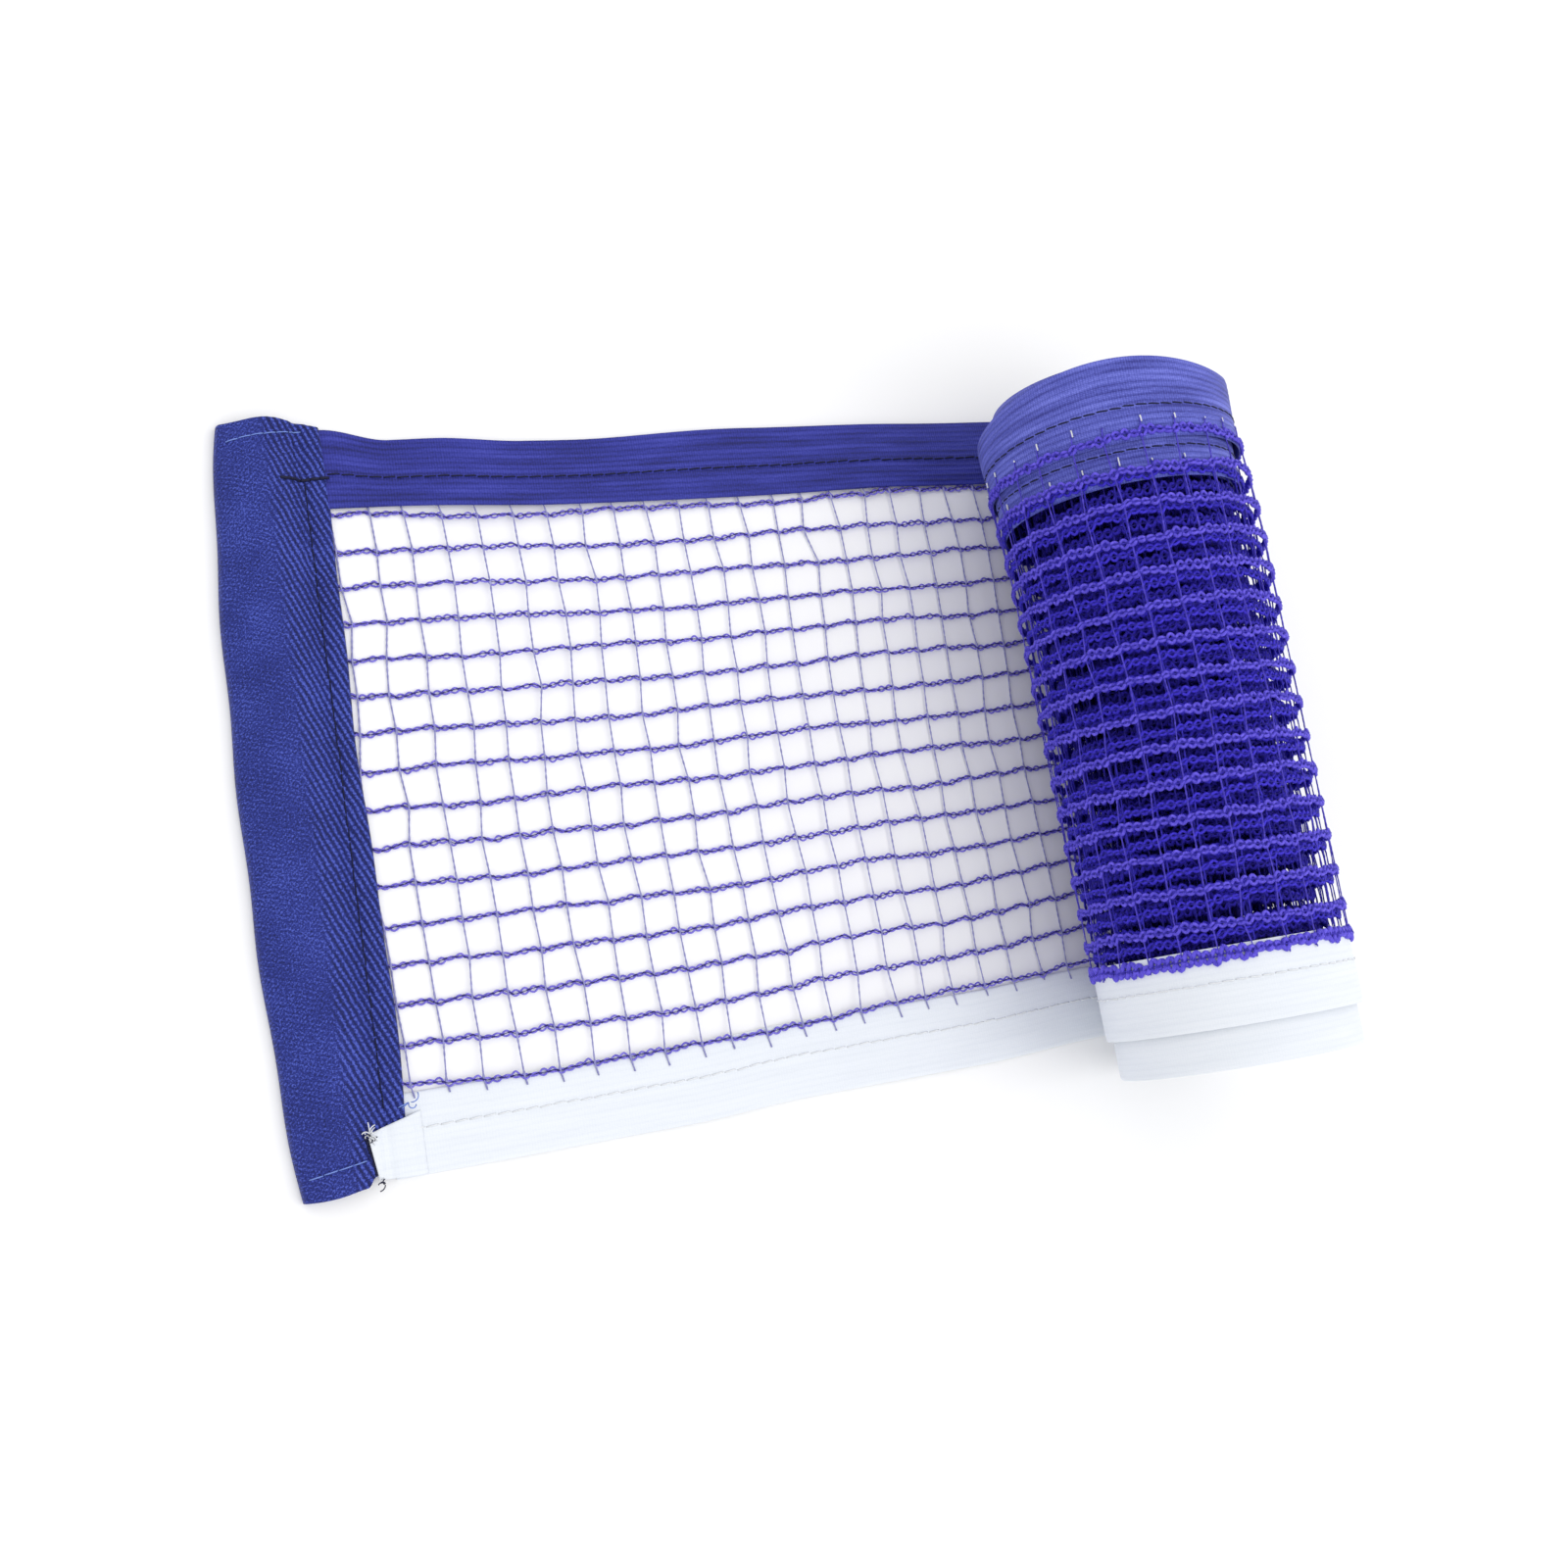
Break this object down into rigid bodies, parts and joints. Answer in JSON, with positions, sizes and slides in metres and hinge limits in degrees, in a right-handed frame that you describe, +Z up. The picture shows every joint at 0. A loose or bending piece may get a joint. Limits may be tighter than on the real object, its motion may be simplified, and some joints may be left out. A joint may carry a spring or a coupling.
{
  "type": "table tennis net",
  "caption": "Table tennis net lying partly unrolled: open violet mesh between a ribbed blue band and a white tape, with a twill post sleeve at the end.",
  "frame": {"origin": "centre of the net's footprint, on the surface it lies on", "axes": "+X along the net from the left end sleeve to the roll, +Y across it from the white tape to the blue band, +Z up"},
  "size_m": [0.2156, 0.1594, 0.0559],
  "materials": {
    "netting": "knitted yarn, soft sheen",
    "blue_band": "finely ribbed tape",
    "white_tape": "finely ribbed tape",
    "twill": "herringbone twill",
    "dark_thread": "sewing thread",
    "pale_thread": "sewing thread",
    "hem_thread": "sewing thread"
  },
  "bodies": {
    "roll": {"netting_roll": "netting", "blue_band_roll": "blue_band", "white_tape_roll": "white_tape", "band_seam_roll": "dark_thread", "tape_seam_roll": "pale_thread", "right_end_sleeve": "twill", "right_hem_thread_lower": "hem_thread", "right_hem_thread_upper": "hem_thread", "netting_lead_in": "netting", "blue_band_lead_in": "blue_band", "white_tape_lead_in": "white_tape", "band_seam_lead_in": "dark_thread", "tape_seam_lead_in": "pale_thread"},
    "inner_run": {"netting_inner": "netting", "blue_band_inner": "blue_band", "white_tape_inner": "white_tape", "band_seam_inner": "dark_thread", "tape_seam_inner": "pale_thread"},
    "outer_run": {"netting_outer": "netting", "blue_band_outer": "blue_band", "white_tape_outer": "white_tape", "band_seam_outer": "dark_thread", "tape_seam_outer": "pale_thread"},
    "end_sleeve": {"left_end_sleeve": "twill", "left_sleeve_seam": "dark_thread", "left_hem_thread_lower": "hem_thread", "left_hem_thread_upper": "hem_thread", "bar_tack": "dark_thread", "white_tape_end_tab": "white_tape"}
  },
  "joints": [
    {"name": "roll_tuck", "type": "hinge", "parent": "roll", "child": "inner_run", "pos_m": [0.05257, 0.00373, 0.00055], "axis": [0, 1, 0], "range_deg": [-90, 85]},
    {"name": "run_fold", "type": "hinge", "parent": "inner_run", "child": "outer_run", "pos_m": [-0.01582, 0.00373, 0.00055], "axis": [0, 1, 0], "range_deg": [-90, 90]},
    {"name": "sleeve_fold", "type": "hinge", "parent": "outer_run", "child": "end_sleeve", "pos_m": [-0.08422, 0.00373, 0.00055], "axis": [0, 1, 0], "range_deg": [-90, 90]}
  ]
}
